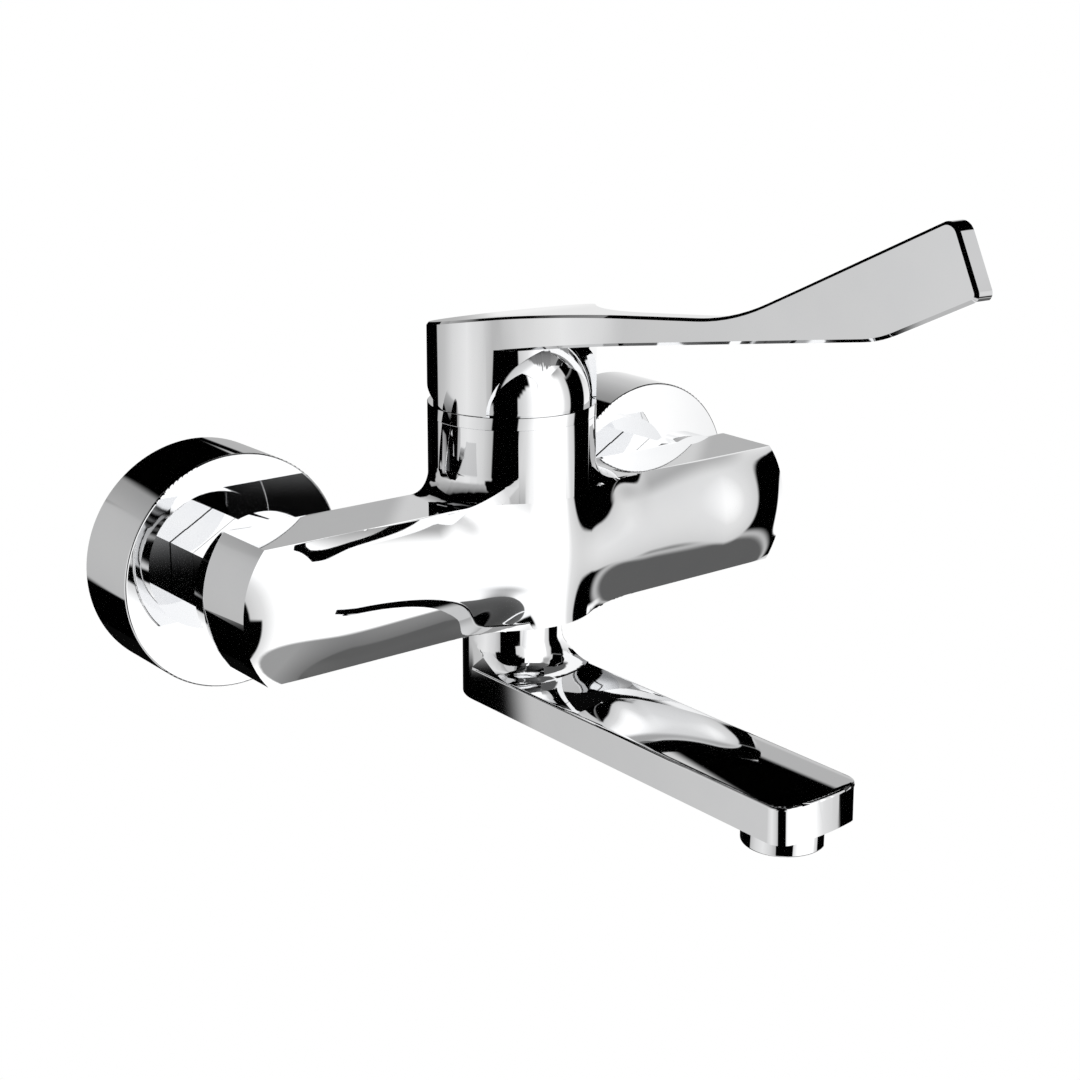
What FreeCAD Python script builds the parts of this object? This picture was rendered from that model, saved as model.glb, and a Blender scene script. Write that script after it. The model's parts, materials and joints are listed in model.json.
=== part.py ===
import FreeCAD, Part
import math
import os

# A single-lever basin mixer that hangs on a wall, in millimetres.
# Origin on the wall between the two inlets, +X to the right, +Y into the wall, +Z up.

os.makedirs("parts", exist_ok=True)

Vector = FreeCAD.Vector
X_AXIS = Vector(1, 0, 0)
Y_AXIS = Vector(0, 1, 0)
Z_AXIS = Vector(0, 0, 1)

# Fits
running_gap = 0.1
assembly_gap = 0.1
seal_squeeze = 0.05

# Inlets and wall flanges
inlet_spacing = 150.0
flange_radius = 32.9
flange_depth = 22.9
flange_wall = 1.5
flange_edge = 0.6
wall_thread_radius = 10.48
wall_thread_length = 15.0
union_bore = 6.5
union_thread_radius = 10.0
union_end = 17.5
wrench_collar_across = 22.0
wrench_collar_length = 6.0

# Union nuts, tails and what is between them
nut_neck_radius = 12.7
nut_across = 26.0
nut_back = 9.0
nut_front = 35.4
seal_thickness = 1.9
tail_collar_radius = 9.8
tail_collar_thickness = 3.0
tail_radius = 8.2
tail_thread_length = 8.0
tail_hole_clearance = 0.5
strainer_thickness = 1.0
strainer_hole = 0.9
strainer_rings = ((0.0, 1), (2.2, 6), (4.6, 12))
strainer_setback = 0.5

# Body
body_back = 42.3
body_front = 63.4
body_half_height = 18.4
body_end_radius = 28.7
body_overhang = 21.0
body_edge = 0.6
front_bulge = 5.7
front_crest = 3.2
crest_reach = 66.0
end_rounding = 28.0
inlet_collar_radius = 19.7
inlet_collar_length = 6.5
column_radius = 24.0
column_distance = 48.5
column_top = 39.0
column_fillet = 7.5
column_inset = 0.1
front_blend_start = 10.0
front_blend_end = 38.0
front_soft_start = 18.0
back_blend = 10.0
passage_radius = 4.0
passage_height = 4.0
port_radius = 2.4
port_offset = 7.0
inlet_port_forward = 4.0

# Cartridge
chamber_floor = 10.0
cartridge_radius = 17.4
base_thickness = 3.8
port_seal_width = 1.3
port_seal_height = 1.35
housing_inner_radius = 14.8
housing_shoulder = 34.0
housing_neck_radius = 15.4
housing_neck_inner = 12.7
housing_top = 47.0
fixed_disc_thickness = 3.0
moving_disc_radius = 11.0
moving_disc_thickness = 2.3
driver_thickness = 6.0
driver_slot_clearance = 0.5
disc_rest_offset = 3.4
pivot_height = 43.0
pivot_pin_radius = 1.5
pivot_pin_length = 24.6
spindle_width = 7.0
spindle_top = 66.0
spindle_arm_radius = 2.6
spindle_ball_radius = 3.2
ball_height = 23.2
sleeve_shoulder = 44.0
sleeve_top = 48.0
sleeve_slot = 8.4
sleeve_slot_length = 22.0
cartridge_nut_top = 41.5

# Cover ring, dome and lever
ring_height = 3.6
ring_wall = 2.1
ring_inner_radius = column_radius - ring_wall
dome_step = 1.6
dome_radius = column_radius - dome_step
dome_wall = 1.2
dome_opening = 13.6
skirt_clearance = 0.1
dome_skirt_radius = ring_inner_radius - skirt_clearance
nut_clearance = 0.7
cartridge_nut_radius = dome_skirt_radius - dome_wall - nut_clearance
hood_clearance = 0.4
ring_gap = 0.15
lever_lift = 20.0
hood_back_height = 63.2
hood_slope = 0.1833
neck_start = 64.0
neck_slope = 0.117
bend_distance = 140.9
paddle_slope = 0.477
paddle_middle_reach = 212.55
paddle_middle_height = 102.7
under_start_height = 62.0
under_slope = 0.165
under_bend_distance = 188.3
bend_radius = 75.0
paddle_top_corner = 3.5
paddle_low_corner = 2.0
lever_edge = 0.8
neck_half_width = 4.4
paddle_half_width = 3.0
taper_end = 165.0
root_blend = 60.0
window_radius = 19.5
boss_radius = 6.2
boss_bottom = 50.0
socket_gap = 0.05
grub_above_boss = 14.4
grub_height = boss_bottom + grub_above_boss
grub_radius = 1.5
grub_length = 8.0
cap_radius = 2.4
cap_thickness = 1.4

# Spout
spigot_radius = 11.9
spigot_top = -4.0
spigot_bore = 7.5
spigot_hole_top = -3.0
boss_gap = 0.2
spout_half_width = 14.5
spout_top = -34.8
spout_bottom = -44.7
spout_reach = 175.5
spout_corner = 5.0
spout_bow = 1.5
spout_edge = 0.8
spout_fillet = 8.5
channel_width = 18.0
channel_height = 5.2
bearing_height = 1.2
oring_radius = 1.0
oring_groove_depth = 2.0
oring_heights = (-14.6, -6.2)
stop_height = -10.6
stop_screw_radius = 2.4
stop_slot_height = 5.2
stop_slot_depth = 1.4
spout_swing = 60.0

# Aerator
aerator_distance = 161.5
aerator_radius = 11.0
aerator_bottom = -51.0
aerator_thread_radius = 9.8
aerator_thread_length = 4.0
aerator_insert_radius = 8.4
aerator_seal_thickness = 1.0

# Worked out from the sizes above
inlet_x = inlet_spacing / 2
axis_y = -column_distance
body_half_length = inlet_x + body_overhang
foot_top = body_half_height + column_fillet
ring_bottom = column_top
ring_top = column_top + ring_height
cavity_radius = dome_radius + hood_clearance
body_end_x = body_half_length - body_end_radius
base_top = chamber_floor + 2 * assembly_gap + base_thickness
fixed_disc_top = base_top + fixed_disc_thickness
moving_disc_bottom = fixed_disc_top + running_gap
driver_bottom = moving_disc_bottom + moving_disc_thickness
driver_top = driver_bottom + driver_thickness
sleeve_bottom = driver_top + 2 * running_gap
bend_height = hood_back_height + hood_slope * (neck_start - column_distance + column_radius)
aerator_y = -aerator_distance
tail_collar_back = union_end + seal_thickness
tail_collar_front = tail_collar_back + tail_collar_thickness


def tube_y(radius, start, end, x=0.0, z=0.0):
    """A cylinder along Y between two distances from the wall, measured towards the room."""
    return Part.makeCylinder(radius, end - start, Vector(x, -end, z), Y_AXIS)


def tube_z(radius, bottom, top, x=0.0, y=axis_y):
    return Part.makeCylinder(radius, top - bottom, Vector(x, y, bottom), Z_AXIS)


def box(x0, x1, y0, y1, z0, z1):
    return Part.makeBox(x1 - x0, y1 - y0, z1 - z0, Vector(x0, y0, z0))


def hexagon_y(across, start, end, x=0.0, z=0.0):
    """A hexagonal bar along Y with two upright sides."""
    corner = across / math.sqrt(3)
    points = []
    for step in range(7):
        angle = math.radians(90 + 60 * step)
        points.append(Vector(x + corner * math.cos(angle), -start, z + corner * math.sin(angle)))
    return Part.Face(Part.makePolygon(points)).extrude(Vector(0, start - end, 0))


def revolve_z(profile):
    """Turns a face drawn in the plane through the column's axis about that axis."""
    return profile.revolve(Vector(0, axis_y, 0), Z_AXIS, 360)


def section(points):
    """A closed face from (radius, height) points in the plane through the column's axis."""
    corners = [Vector(r, axis_y, z) for r, z in points]
    return Part.Face(Part.makePolygon(corners + corners[:1]))


def save(name, shape):
    assert shape.isValid(), name
    shape.exportStep("parts/" + name + ".step")
    print(name, len(shape.Solids), "solids", round(shape.Volume, 1), "mm3")


def edges_where(shape, test):
    return [edge for edge in shape.Edges if test(edge.BoundBox)]


# Wall side: flanges, wall unions, nuts, tails, seals and strainers

def wall_flange(x):
    cup = tube_y(flange_radius, 0, flange_depth, x)
    rim = edges_where(cup, lambda b: b.YMax < -flange_depth + 0.01 and b.XLength > flange_radius)
    cup = cup.makeFillet(flange_edge, rim)
    cup = cup.cut(tube_y(flange_radius - flange_wall, -1, flange_depth - flange_wall, x))
    return cup.cut(tube_y(nut_neck_radius + assembly_gap, 0, flange_depth + 1, x))


def wall_union(x):
    collar_end = 1 + wrench_collar_length
    shape = tube_y(wall_thread_radius, -wall_thread_length, 1, x)
    shape = shape.fuse(hexagon_y(wrench_collar_across, 1, collar_end, x))
    shape = shape.fuse(tube_y(union_thread_radius, collar_end, union_end, x))
    return shape.cut(tube_y(union_bore, -wall_thread_length - 1, union_end + 1, x))


def union_nut(x):
    shape = tube_y(nut_neck_radius, nut_back, flange_depth + assembly_gap, x)
    shape = shape.fuse(hexagon_y(nut_across, flange_depth + assembly_gap, nut_front, x))
    lip = tail_collar_front + assembly_gap
    shape = shape.cut(tube_y(union_thread_radius + assembly_gap, nut_back - 1, lip, x))
    return shape.cut(tube_y(tail_radius + assembly_gap, lip - 1, nut_front + 1, x))


def inlet_tail(x):
    shoulder = body_back - inlet_collar_length
    shape = tube_y(tail_collar_radius, tail_collar_back, tail_collar_front, x)
    shape = shape.fuse(tube_y(tail_radius, tail_collar_front, shoulder + tail_thread_length, x))
    return shape.cut(tube_y(union_bore, tail_collar_back - 1, shoulder + tail_thread_length + 1, x))


def inlet_seal(x):
    ring = tube_y(tail_collar_radius, union_end, tail_collar_back, x)
    return ring.cut(tube_y(union_bore, union_end - 1, tail_collar_back + 1, x))


def inlet_strainer(x):
    start = tail_collar_back + strainer_setback
    disc = tube_y(union_bore - seal_squeeze, start, start + strainer_thickness, x)
    for ring_radius, count in strainer_rings:
        for step in range(count):
            angle = 2 * math.pi * step / count
            hole_x = x + ring_radius * math.cos(angle)
            hole_z = ring_radius * math.sin(angle)
            disc = disc.cut(tube_y(strainer_hole, start - 1, start + 2, hole_x, hole_z))
    return disc


# Body

def eased(value, start, end):
    """0 below start, 1 above end, with level ends and no jump in curvature between."""
    t = min(max((value - start) / (end - start), 0.0), 1.0)
    return t ** 3 * (10 - 15 * t + 6 * t ** 2)


def edge_line(x):
    """How far the front stands from the wall along the bar's top and bottom edges.

    The column's circle runs out into the bar's straight edge over a blend with even curvature."""
    x = abs(x)
    circle_front = column_distance - column_inset
    if x <= front_blend_start:
        return circle_front + math.sqrt(column_radius ** 2 - x ** 2)
    if x >= front_blend_end:
        return body_front
    span = front_blend_end - front_blend_start
    t = (x - front_blend_start) / span
    rise = math.sqrt(column_radius ** 2 - front_blend_start ** 2)
    slope = -front_blend_start / rise * span
    curve = -column_radius ** 2 / rise ** 3 * span ** 2
    fade = 1 - t ** 3 * (10 - 15 * t + 6 * t ** 2)
    lean = t - 6 * t ** 3 + 8 * t ** 4 - 3 * t ** 5
    bend = 0.5 * (t ** 2 - 3 * t ** 3 + 3 * t ** 4 - t ** 5)
    return body_front + (circle_front + rise - body_front) * fade + slope * lean + curve * bend


def middle_line(x):
    """How far the front stands from the wall half-way up the bar."""
    share = min(abs(x) / crest_reach, 1.0)
    return body_front + front_bulge + front_crest * (1 - share ** 2) ** 2


def front_distance(x, z):
    """The cushioned front: full in the middle and down to a straight edge all round."""
    height = (z / body_half_height) ** 2
    soft = max(1 - height, 0.0) ** 3
    firm = eased(abs(x), front_soft_start, front_blend_end)
    fullness = soft + (1 - height - soft) * firm
    end_z = min(abs(z), body_half_height + column_fillet / 3)
    end_x = body_end_x + math.sqrt(body_end_radius ** 2 - end_z ** 2)
    from_end = (end_x - abs(x)) / end_rounding
    rounding = 1 - max(1 - from_end, 0.0) ** 3
    return edge_line(x) + fullness * rounding * (middle_line(x) - edge_line(x))


def room_side():
    """Everything in front of the body's front, as a solid to cut with."""
    step_x = 2.5
    step_z = body_half_height / 8
    columns = math.ceil(body_half_length / step_x) + 1
    rows = math.ceil(foot_top / step_z)
    points = []
    for i in range(-columns, columns + 1):
        x = i * step_x
        points.append([Vector(x, -front_distance(x, j * step_z), j * step_z) for j in range(-9, rows + 1)])
    surface = Part.BSplineSurface()
    surface.interpolate(points)
    return surface.toShape().extrude(Vector(0, -2 * column_radius, 0))


def bar():
    corner_x = body_end_x + math.sqrt(body_end_radius ** 2 - body_half_height ** 2)
    top_left = Vector(-corner_x, -body_back, body_half_height)
    top_right = Vector(corner_x, -body_back, body_half_height)
    low_right = Vector(corner_x, -body_back, -body_half_height)
    low_left = Vector(-corner_x, -body_back, -body_half_height)
    edges = [
        Part.LineSegment(top_left, top_right).toShape(),
        Part.Arc(top_right, Vector(body_half_length, -body_back, 0), low_right).toShape(),
        Part.LineSegment(low_right, low_left).toShape(),
        Part.Arc(low_left, Vector(-body_half_length, -body_back, 0), top_left).toShape(),
    ]
    depth = column_distance + column_radius + 1 - body_back
    solid = Part.Face(Part.Wire(edges)).extrude(Vector(0, -depth, 0))
    ends = edges_where(solid, lambda b: b.YMin > -body_back - 0.01 and b.XLength < body_end_radius)
    return solid.makeFillet(body_edge, ends)


def back_blend_arc(side):
    """The concave arc in plan that joins the bar's back to the column, on the left (-1) or right (1)."""
    reach = column_radius + back_blend
    across = column_distance - body_back + back_blend
    centre = Vector(side * math.sqrt(reach ** 2 - across ** 2), across, 0)
    on_bar = Vector(centre.x, column_distance - body_back, 0)
    on_column = centre * (column_radius / reach)
    towards = (on_bar - centre) + (on_column - centre)
    towards.normalize()
    middle = centre + towards * back_blend
    shift = Vector(0, axis_y, 0)
    return [point + shift for point in (on_bar, middle, on_column)]


def column_back(bottom, top):
    """The back half of the column with its blends into the bar, between two heights."""
    left = back_blend_arc(-1)
    right = back_blend_arc(1)
    front_right = Vector(right[0].x, axis_y, 0)
    front_left = Vector(left[0].x, axis_y, 0)
    edges = [
        Part.Arc(right[0], right[1], right[2]).toShape(),
        Part.Arc(right[2], Vector(0, axis_y + column_radius, 0), left[2]).toShape(),
        Part.Arc(left[2], left[1], left[0]).toShape(),
        Part.LineSegment(left[0], front_left).toShape(),
        Part.LineSegment(front_left, front_right).toShape(),
        Part.LineSegment(front_right, right[0]).toShape(),
    ]
    face = Part.Face(Part.Wire(edges))
    face.translate(Vector(0, 0, bottom))
    return face.extrude(Vector(0, 0, top - bottom))


def column_foot():
    """The concave ring between the bar's top and the column, trimmed to the bar's back."""
    outer = column_radius + column_fillet
    corner = Vector(outer, axis_y, foot_top)
    middle = corner + Vector(-1, 0, -1) * (column_fillet / math.sqrt(2))
    low_outer = Vector(outer, axis_y, body_half_height)
    high_inner = Vector(column_radius, axis_y, foot_top)
    high_core = Vector(0, axis_y, foot_top)
    low_core = Vector(0, axis_y, body_half_height)
    edges = [
        Part.Arc(low_outer, middle, high_inner).toShape(),
        Part.LineSegment(high_inner, high_core).toShape(),
        Part.LineSegment(high_core, low_core).toShape(),
        Part.LineSegment(low_core, low_outer).toShape(),
    ]
    ring = revolve_z(Part.Face(Part.Wire(edges)))
    strip = box(-body_half_length, body_half_length, axis_y - outer, -body_back, body_half_height, foot_top)
    return ring.common(strip.fuse(column_back(body_half_height, foot_top)))


def ports():
    """The three ports of the cartridge: two inlets in front and the outlet behind."""
    inlet_y = axis_y - inlet_port_forward
    return ((-port_offset, inlet_y), (port_offset, inlet_y), (0.0, axis_y + port_offset))


def body():
    shape = bar().fuse(column_foot()).cut(room_side())
    shape = shape.fuse(column_back(-body_half_height, body_half_height))
    shape = shape.fuse(tube_z(column_radius, -body_half_height, column_top))
    for x in (-inlet_x, inlet_x):
        shape = shape.fuse(tube_y(inlet_collar_radius, body_back - inlet_collar_length, body_back + 1, x))
    # The cartridge's chamber and its threaded mouth
    shape = shape.cut(tube_z(cartridge_radius + assembly_gap, chamber_floor, column_top + 1))
    shape = shape.cut(tube_z(cartridge_nut_radius + assembly_gap, housing_shoulder, column_top + 1))
    # Water ways
    shoulder = body_back - inlet_collar_length
    for side, port in ((-1, ports()[0]), (1, ports()[1])):
        x = side * inlet_x
        tail_hole = tail_radius + seal_squeeze
        shape = shape.cut(tube_y(tail_hole, shoulder - 1, shoulder + tail_thread_length + tail_hole_clearance, x))
        shape = shape.cut(tube_y(passage_radius, shoulder, -port[1] + passage_radius, x, passage_height / 2))
        along = Part.makeCylinder(passage_radius, inlet_x - port_offset,
                                  Vector(side * port_offset, port[1], passage_height),
                                  Vector(side, 0, 0))
        shape = shape.cut(along)
        shape = shape.cut(tube_z(port_radius, passage_height, chamber_floor + 1, port[0], port[1]))
    outlet = ports()[2]
    shape = shape.cut(tube_z(port_radius, spigot_hole_top - 1, chamber_floor + 1, outlet[0], outlet[1]))
    shape = shape.cut(tube_z(spigot_radius + 2 * running_gap, -body_half_height - 1, spigot_hole_top))
    # The stop screw's hole in the back of the column
    stop = tube_y(stop_screw_radius + seal_squeeze, 0, column_distance - spigot_radius + 1, 0, stop_height)
    return shape.cut(stop).removeSplitter()


# Cartridge

def cartridge_base():
    disc = tube_z(cartridge_radius, chamber_floor + 2 * assembly_gap, base_top)
    for x, y in ports():
        disc = disc.cut(tube_z(port_radius, chamber_floor, base_top + 1, x, y))
        groove = tube_z(port_radius + port_seal_width + seal_squeeze, chamber_floor,
                        chamber_floor + port_seal_height + 2 * seal_squeeze, x, y)
        disc = disc.cut(groove)
    return disc


def cartridge_base_seals():
    rings = []
    for x, y in ports():
        low = chamber_floor + seal_squeeze
        ring = tube_z(port_radius + port_seal_width, low, low + port_seal_height, x, y)
        rings.append(ring.cut(tube_z(port_radius, low - 1, low + 3, x, y)))
    return Part.Compound(rings)


def fixed_ceramic_disc():
    disc = tube_z(housing_inner_radius - assembly_gap, base_top, fixed_disc_top)
    for x, y in ports():
        disc = disc.cut(tube_z(port_radius, base_top - 1, fixed_disc_top + 1, x, y))
    return disc


def moving_ceramic_disc():
    y = axis_y + disc_rest_offset
    disc = tube_z(moving_disc_radius, moving_disc_bottom, driver_bottom, 0, y)
    pocket = tube_z(moving_disc_radius * 0.5, moving_disc_bottom - 1, driver_bottom - 1, 0, y - 2)
    return disc.cut(pocket)


def disc_driver():
    shape = tube_z(moving_disc_radius, driver_bottom, driver_top, 0, axis_y + disc_rest_offset)
    half_x = spindle_ball_radius + 2 * running_gap
    half_y = spindle_ball_radius + driver_slot_clearance
    slot = box(-half_x, half_x, axis_y - half_y, axis_y + half_y,
               ball_height - spindle_ball_radius - driver_slot_clearance, driver_top + 1)
    return shape.cut(slot)


def cartridge_housing():
    wide = tube_z(cartridge_radius, base_top, housing_shoulder)
    shape = wide.fuse(tube_z(housing_neck_radius, base_top, housing_top))
    shape = shape.cut(tube_z(housing_inner_radius, base_top - 1, sleeve_shoulder + 2 * running_gap))
    return shape.cut(tube_z(housing_neck_inner, base_top, housing_top + 1))


def turning_sleeve():
    shape = tube_z(housing_inner_radius - running_gap, sleeve_bottom, sleeve_shoulder)
    shape = shape.fuse(tube_z(housing_neck_inner - running_gap, sleeve_bottom, sleeve_top))
    half = sleeve_slot / 2
    half_length = sleeve_slot_length / 2
    slot = box(-half, half, axis_y - half_length, axis_y + half_length, sleeve_bottom - 1, sleeve_top + 1)
    return shape.cut(slot).cut(pivot_rod(pivot_pin_radius + seal_squeeze, 2 * housing_inner_radius))


def pivot_rod(radius, length):
    return Part.makeCylinder(radius, length, Vector(-length / 2, axis_y, pivot_height), X_AXIS)


def pivot_pin():
    return pivot_rod(pivot_pin_radius, pivot_pin_length)


def spindle():
    half = spindle_width / 2
    shape = box(-half, half, axis_y - half, axis_y + half, pivot_height, spindle_top)
    shape = shape.fuse(pivot_rod(half + 1.5, sleeve_slot - 4 * running_gap))
    shape = shape.fuse(tube_z(spindle_arm_radius, ball_height, pivot_height))
    shape = shape.fuse(Part.makeSphere(spindle_ball_radius, Vector(0, axis_y, ball_height)))
    return shape.cut(pivot_rod(pivot_pin_radius + running_gap, sleeve_slot))


def cartridge_nut():
    ring = tube_z(cartridge_nut_radius, housing_shoulder, cartridge_nut_top)
    return ring.cut(tube_z(housing_neck_radius + assembly_gap, housing_shoulder - 1, cartridge_nut_top + 1))


# Cover ring, dome and lever

def collar_ring():
    shape = tube_z(column_radius, ring_bottom, ring_top)
    rims = edges_where(shape, lambda b: b.ZLength < 0.01 and b.XLength > column_radius)
    shape = shape.makeChamfer(0.15, rims)
    return shape.cut(tube_z(ring_inner_radius, ring_bottom - 1, ring_top + 1))


def dome_cover():
    centre = Vector(0, axis_y, pivot_height)
    ball = Part.makeSphere(dome_radius, centre)
    above = tube_z(dome_radius + 1, ring_top, pivot_height + dome_radius + 1)
    shape = ball.common(above)
    shape = shape.fuse(tube_z(dome_skirt_radius, ring_bottom, ring_top + 0.4))
    shape = shape.cut(Part.makeSphere(dome_radius - dome_wall, centre))
    shape = shape.cut(tube_z(dome_skirt_radius - dome_wall, ring_bottom - 1, pivot_height))
    return shape.cut(tube_z(dome_opening, pivot_height, pivot_height + dome_radius + 1))


def rounded_side(corners):
    """A face in the plane X = 0 from (distance from the wall, height, rounding radius) corners."""
    points = [Vector(0, -distance, height) for distance, height, radius in corners]
    edges = []
    last = None
    first = None
    for index, (distance, height, radius) in enumerate(corners):
        corner = points[index]
        back = points[index - 1] - corner
        ahead = points[(index + 1) % len(points)] - corner
        back.normalize()
        ahead.normalize()
        half_angle = back.getAngle(ahead) / 2
        start = corner + back * (radius / math.tan(half_angle))
        end = corner + ahead * (radius / math.tan(half_angle))
        if last is None:
            first = start
        else:
            edges.append(Part.LineSegment(last, start).toShape())
        if radius > 0:
            inward = back + ahead
            inward.normalize()
            middle = corner + inward * (radius / math.sin(half_angle) - radius)
            edges.append(Part.Arc(start, middle, end).toShape())
        last = end
    edges.append(Part.LineSegment(last, first).toShape())
    return Part.Face(Part.Wire(edges))


def across_lever(face):
    """Extrudes a side face over the lever's whole width."""
    width = 2 * column_radius + 4
    face.translate(Vector(-width / 2, 0, 0))
    return face.extrude(Vector(width, 0, 0))


def top_line():
    """The hood's and arm's top seen from the side, up to the paddle's tip."""
    start_distance = column_distance - column_radius - 3
    start = (start_distance, hood_back_height - 3 * hood_slope)
    neck = (neck_start, bend_height)
    bend = (bend_distance, bend_height + neck_slope * (bend_distance - neck_start))
    reach = tip_reach(bend[1] - paddle_slope * bend[0])
    tip = (reach, bend[1] + paddle_slope * (reach - bend[0]))
    return [start, neck, bend, tip]


def tip_reach(offset):
    """Where the paddle's square end meets the line height = offset + paddle_slope * distance."""
    along = paddle_middle_reach + paddle_slope * (paddle_middle_height - offset)
    return along / (1 + paddle_slope ** 2)


def under_line():
    """The arm's underside, from inside the hood to the paddle's lower corner."""
    hood_front = column_distance + column_radius
    bend_z = under_start_height + under_slope * (under_bend_distance - hood_front)
    bend = (under_bend_distance, bend_z)
    reach = tip_reach(bend_z - paddle_slope * under_bend_distance)
    tip = (reach, bend_z + paddle_slope * (reach - under_bend_distance))
    inner = (column_distance, under_start_height - under_slope * column_radius)
    return [inner, bend, tip]


def arm_plan():
    """The hood and arm seen from above."""
    reach = column_radius + root_blend
    across = neck_half_width + root_blend
    forward = math.sqrt(reach ** 2 - across ** 2)
    tip_y = -(paddle_middle_reach + 20)
    points = {}
    for side in (-1, 1):
        centre = Vector(side * across, axis_y - forward, 0)
        on_hood = Vector(0, axis_y, 0) + (centre - Vector(0, axis_y, 0)) * (column_radius / reach)
        on_neck = Vector(side * neck_half_width, centre.y, 0)
        towards = (on_hood - centre) + (on_neck - centre)
        towards.normalize()
        points[side] = [on_hood, centre + towards * root_blend, on_neck]
    taper_right = Vector(paddle_half_width, -taper_end, 0)
    taper_left = Vector(-paddle_half_width, -taper_end, 0)
    tip_right = Vector(paddle_half_width, tip_y, 0)
    tip_left = Vector(-paddle_half_width, tip_y, 0)
    edges = [
        Part.Arc(points[1][0], Vector(0, axis_y + column_radius, 0), points[-1][0]).toShape(),
        Part.Arc(points[-1][0], points[-1][1], points[-1][2]).toShape(),
        Part.LineSegment(points[-1][2], taper_left).toShape(),
        Part.LineSegment(taper_left, tip_left).toShape(),
        Part.LineSegment(tip_left, tip_right).toShape(),
        Part.LineSegment(tip_right, taper_right).toShape(),
        Part.LineSegment(taper_right, points[1][2]).toShape(),
        Part.Arc(points[1][2], points[1][1], points[1][0]).toShape(),
    ]
    return Part.Face(Part.Wire(edges))


def lever():
    top = top_line()
    under = under_line()
    top_back, neck, bend, tip = top
    inner, under_bend, under_tip = under
    roof = [(under_tip[0], under_tip[1], paddle_low_corner), (tip[0], tip[1], paddle_top_corner),
            (bend[0], bend[1], bend_radius), (neck[0], neck[1], 3 * bend_radius)]
    arm_corners = [(top_back[0], top_back[1], 0), (top_back[0], inner[1], 0), (inner[0], inner[1], 0),
                   (under_bend[0], under_bend[1], bend_radius / 2)] + roof
    arm = across_lever(rounded_side(arm_corners)).common(arm_plan().extrude(Vector(0, 0, 150)))
    front = column_distance + column_radius + 3
    hood_corners = [(top_back[0], top_back[1], 0), (top_back[0], ring_top + ring_gap, 0),
                    (front, ring_top + ring_gap, 0),
                    (front, neck[1] + neck_slope * (front - neck[0]), 0), (neck[0], neck[1], 3 * bend_radius)]
    hood = across_lever(rounded_side(hood_corners)).common(tube_z(column_radius, ring_top, 120))
    shell = arm.fuse(hood).removeSplitter()
    shell = shell.makeChamfer(lever_edge, roof_edges(shell))
    centre = Vector(0, axis_y, pivot_height)
    shell = shell.cut(Part.makeSphere(cavity_radius, centre))
    shell = shell.cut(tube_z(cavity_radius, ring_top, pivot_height))
    shell = shell.cut(tube_y(window_radius, column_distance, front, 0, pivot_height))
    shell = shell.cut(lift_relief())
    # The boss inside the hood that holds the spindle
    boss = tube_z(boss_radius, boss_bottom, pivot_height + dome_radius + 1)
    socket = spindle_width / 2 + socket_gap
    shell = shell.fuse(boss).cut(box(-socket, socket, axis_y - socket, axis_y + socket,
                                     boss_bottom - 1, spindle_top + assembly_gap))
    grub = Part.makeCylinder(grub_radius, column_radius, Vector(0, axis_y, grub_height), X_AXIS)
    mouth = Part.makeCylinder(cap_radius, 2 * cap_thickness,
                              Vector(column_radius - cap_thickness, axis_y, grub_height), X_AXIS)
    return shell.cut(grub).cut(mouth)


def roof_edges(shape):
    """The two long edges of the lever's roof, from the back of the hood to the paddle's tip."""
    found = []
    for edge in shape.Edges:
        ends = [vertex.Point for vertex in edge.Vertexes]
        middle = edge.valueAt((edge.FirstParameter + edge.LastParameter) / 2)
        flat = [abs(point.z - roof_height(-point.y)) < 0.05 for point in ends + [middle]]
        if all(flat) and edge.BoundBox.YLength > 1.0:
            found.append(edge)
    return found


def roof_height(distance):
    """The height of the roof above a point, with its two rounded bends."""
    back, neck, bend, tip = top_line()
    for low, corner, high, radius in ((back, neck, bend, 3 * bend_radius), (neck, bend, tip, bend_radius)):
        slope_in = (corner[1] - low[1]) / (corner[0] - low[0])
        slope_out = (high[1] - corner[1]) / (high[0] - corner[0])
        half_turn = (math.atan(slope_out) - math.atan(slope_in)) / 2
        reach = radius * abs(math.tan(half_turn))
        start = corner[0] - reach * math.cos(math.atan(slope_in))
        end = corner[0] + reach * math.cos(math.atan(slope_out))
        if distance <= start:
            return corner[1] + slope_in * (distance - corner[0])
        if distance < end:
            side = 1 if half_turn > 0 else -1
            start_height = corner[1] + slope_in * (start - corner[0])
            centre_x = start - side * radius * math.sin(math.atan(slope_in))
            centre_z = start_height + side * radius * math.cos(math.atan(slope_in))
            return centre_z - side * math.sqrt(radius ** 2 - (distance - centre_x) ** 2)
    return tip[1] + paddle_slope * (distance - tip[0])


def lift_relief():
    """The wedge cut away under the back of the hood, so that the lever can lift."""
    rise = math.tan(math.radians(lever_lift)) * (column_radius + 2)
    low = ring_top + ring_gap
    back = axis_y + column_radius + 2
    corners = [Vector(-column_radius - 2, axis_y, low), Vector(-column_radius - 2, back, low + rise),
               Vector(-column_radius - 2, back, low - 3), Vector(-column_radius - 2, axis_y, low - 3)]
    wedge = Part.Face(Part.makePolygon(corners + corners[:1]))
    return wedge.extrude(Vector(2 * column_radius + 4, 0, 0))


def lever_grub_screw():
    start = spindle_width / 2 + socket_gap
    screw = Part.makeCylinder(grub_radius - seal_squeeze, grub_length, Vector(start, axis_y, grub_height), X_AXIS)
    recess = Part.makeCylinder(grub_radius / 2, 2.0, Vector(start + grub_length - 1.5, axis_y, grub_height), X_AXIS)
    return screw.cut(recess)


def screw_cap():
    start = column_radius - cap_thickness
    return Part.makeCylinder(cap_radius - seal_squeeze, cap_thickness - 0.3,
                             Vector(start, axis_y, grub_height), X_AXIS)


# Spout

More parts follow.
